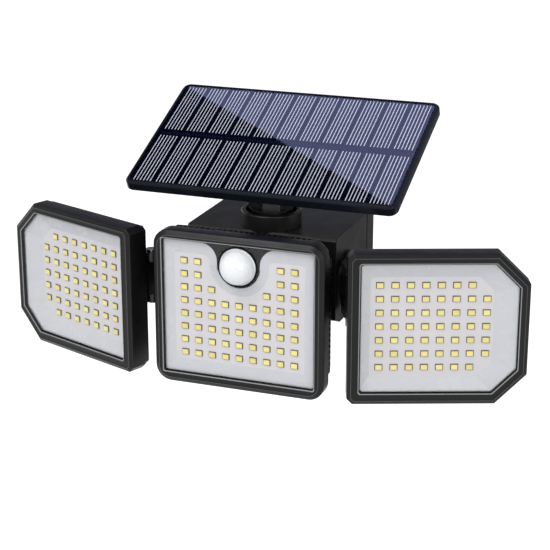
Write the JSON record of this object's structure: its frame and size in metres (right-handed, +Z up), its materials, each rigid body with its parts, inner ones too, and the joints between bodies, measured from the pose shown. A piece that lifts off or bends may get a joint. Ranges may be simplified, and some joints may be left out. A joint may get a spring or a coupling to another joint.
{
  "type": "motion sensor security light",
  "caption": "Wall-mounted solar security light: box housing, tilting solar panel on a swivel post, centre lamp head with sensor dome, two side lamp heads on arms.",
  "frame": {"origin": "middle of the wall face of the bracket", "axes": "+Z up, +Y into the wall, lamp heads look along -Y"},
  "size_m": [0.305, 0.1392, 0.1431],
  "materials": {
    "black_abs": "fine satin moulded black ABS",
    "lamp_abs": "satin black ABS of the lamp heads",
    "clear_pc": "clear polycarbonate cover",
    "white_pc": "white reflector plastic",
    "white_board": "white solder mask board",
    "led_phosphor": "yellow phosphor LED package",
    "rubber": "black silicone seal",
    "steel": "zinc plated steel",
    "dome_pe": "translucent white sensor dome",
    "sensor_can": "nickel plated can",
    "solar_silicon": "dark blue silicon cells",
    "panel_sheet": "clear laminate sheet",
    "black_board": "dark circuit board",
    "green_board": "green circuit board",
    "cell_wrap": "shrink wrapped battery cells",
    "button_rubber": "soft black button"
  },
  "bodies": {
    "wall_unit": {"wall_bracket": "black_abs", "bracket_screws": "steel", "rear_cover": "black_abs", "rear_cover_screws": "steel", "housing_gasket": "rubber", "main_housing": "black_abs", "battery_holder": "black_abs", "battery_cells": "cell_wrap", "control_board": "green_board", "panel_collar": "black_abs", "front_clevis": "black_abs", "centre_tilt_pin": "steel"},
    "button": {"mode_button": "button_rubber"},
    "panel_post": {"panel_stem": "black_abs", "stem_ring": "steel", "panel_tilt_pin": "steel"},
    "panel": {"panel_lug": "black_abs", "panel_lug_screws": "steel", "panel_back": "black_abs", "panel_frame": "black_abs", "cell_board": "black_board", "solar_cells": "solar_silicon", "panel_sheet": "panel_sheet"},
    "centre_head": {"centre_bezel": "lamp_abs", "centre_lens": "clear_pc", "centre_reflector": "white_pc", "centre_board": "white_board", "centre_leds": "led_phosphor", "centre_seal": "rubber", "centre_housing": "lamp_abs", "centre_screws": "steel", "sensor_surround": "lamp_abs", "sensor_dome": "dome_pe", "sensor_element": "sensor_can"},
    "right_arm": {"right_arm": "black_abs", "right_axle": "steel", "right_axle_nut": "steel", "right_swivel_pin": "steel"},
    "right_head": {"right_bezel": "lamp_abs", "right_lens": "clear_pc", "right_reflector": "white_pc", "right_board": "white_board", "right_leds": "led_phosphor", "right_seal": "rubber", "right_housing": "lamp_abs", "right_screws": "steel"},
    "left_arm": {"left_arm": "black_abs", "left_axle": "steel", "left_axle_nut": "steel", "left_swivel_pin": "steel"},
    "left_head": {"left_bezel": "lamp_abs", "left_lens": "clear_pc", "left_reflector": "white_pc", "left_board": "white_board", "left_leds": "led_phosphor", "left_seal": "rubber", "left_housing": "lamp_abs", "left_screws": "steel"}
  },
  "joints": [
    {"name": "panel_swivel", "type": "hinge", "parent": "wall_unit", "child": "panel_post", "pos_m": [0, -0.0774, 0.0435], "axis": [0, 0, 1], "range_deg": [-90, 90]},
    {"name": "panel_tilt", "type": "hinge", "parent": "panel_post", "child": "panel", "pos_m": [0, -0.0774, 0.0435], "axis": [1, 0, 0], "range_deg": [-23, 5]},
    {"name": "centre_tilt", "type": "hinge", "parent": "wall_unit", "child": "centre_head", "pos_m": [0, -0.10165, 0], "axis": [1, 0, 0], "range_deg": [-4, 25]},
    {"name": "right_tilt", "type": "hinge", "parent": "wall_unit", "child": "right_arm", "pos_m": [0.0457, -0.076, -0.003], "axis": [1, 0, 0], "range_deg": [-4, 25]},
    {"name": "right_swivel", "type": "hinge", "parent": "right_arm", "child": "right_head", "pos_m": [0.0604, -0.1077, -0.003], "axis": [0, 0, 1], "range_deg": [-21, 25]},
    {"name": "left_tilt", "type": "hinge", "parent": "wall_unit", "child": "left_arm", "pos_m": [-0.0457, -0.076, -0.003], "axis": [1, 0, 0], "range_deg": [-4, 25]},
    {"name": "left_swivel", "type": "hinge", "parent": "left_arm", "child": "left_head", "pos_m": [-0.0604, -0.1077, -0.003], "axis": [0, 0, 1], "range_deg": [-25, 21]},
    {"name": "button_press", "type": "slide", "parent": "wall_unit", "child": "button", "axis": [0, 0, 1], "range_m": [0, 0.001], "stiffness_N_per_m": 400, "springref_m": -0.0005}
  ]
}
